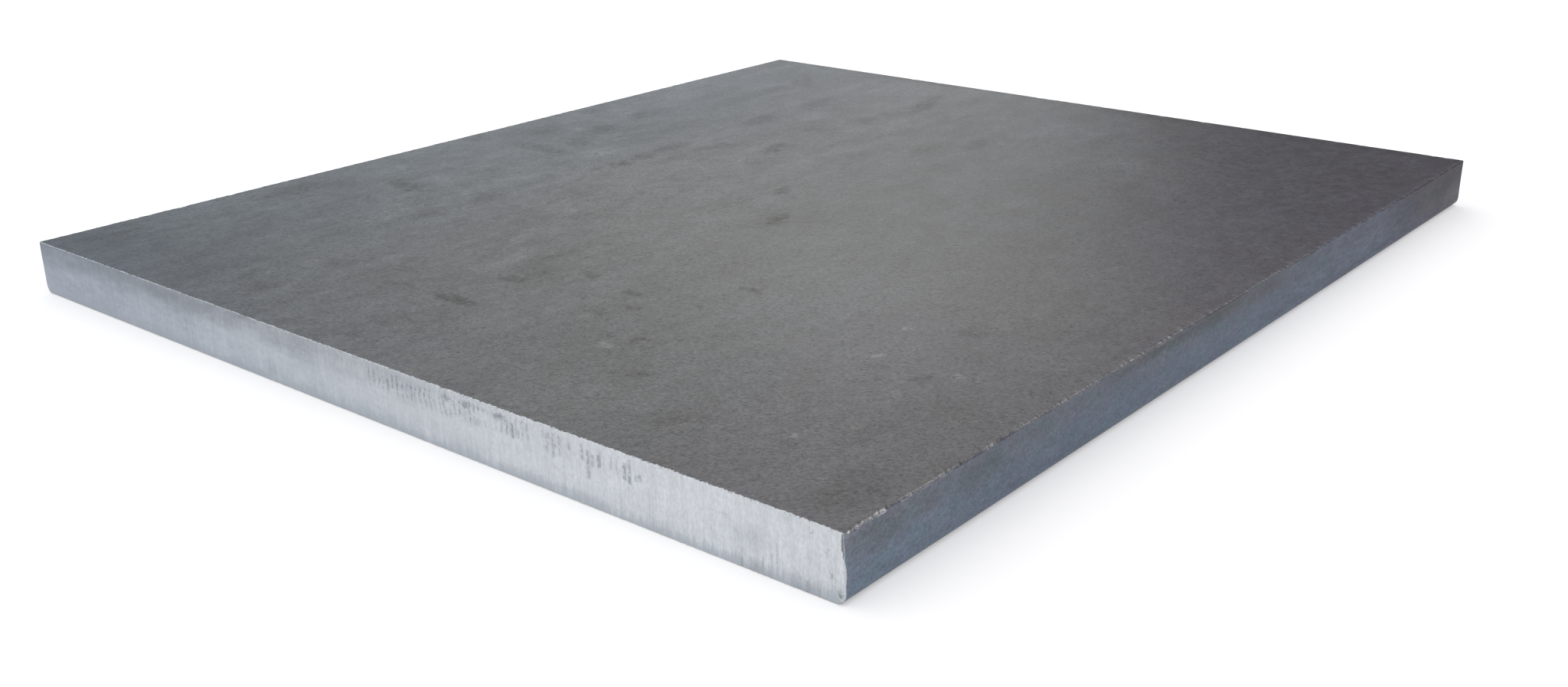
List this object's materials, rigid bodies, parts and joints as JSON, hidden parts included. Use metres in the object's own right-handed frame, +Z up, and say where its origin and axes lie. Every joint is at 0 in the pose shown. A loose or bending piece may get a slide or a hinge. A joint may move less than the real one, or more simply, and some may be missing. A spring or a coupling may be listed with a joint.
{
  "type": "steel plate",
  "caption": "Rectangular hot-rolled steel plate lying flat, with rolled-over lower edges, bright cut ends and dark mill scale on its faces.",
  "frame": {"origin": "centre of the underside, on the surface the plate lies on", "axes": "+Y along the rolling direction, which is the plate's length; +X across its width; +Z up through its thickness"},
  "size_m": [0.38, 0.436, 0.02],
  "materials": {
    "steel": "dull grey mill scale on the faces and long sides, bright fine-striated metal on the cut ends"
  },
  "bodies": {
    "root": {"steel_plate": "steel"}
  },
  "joints": []
}
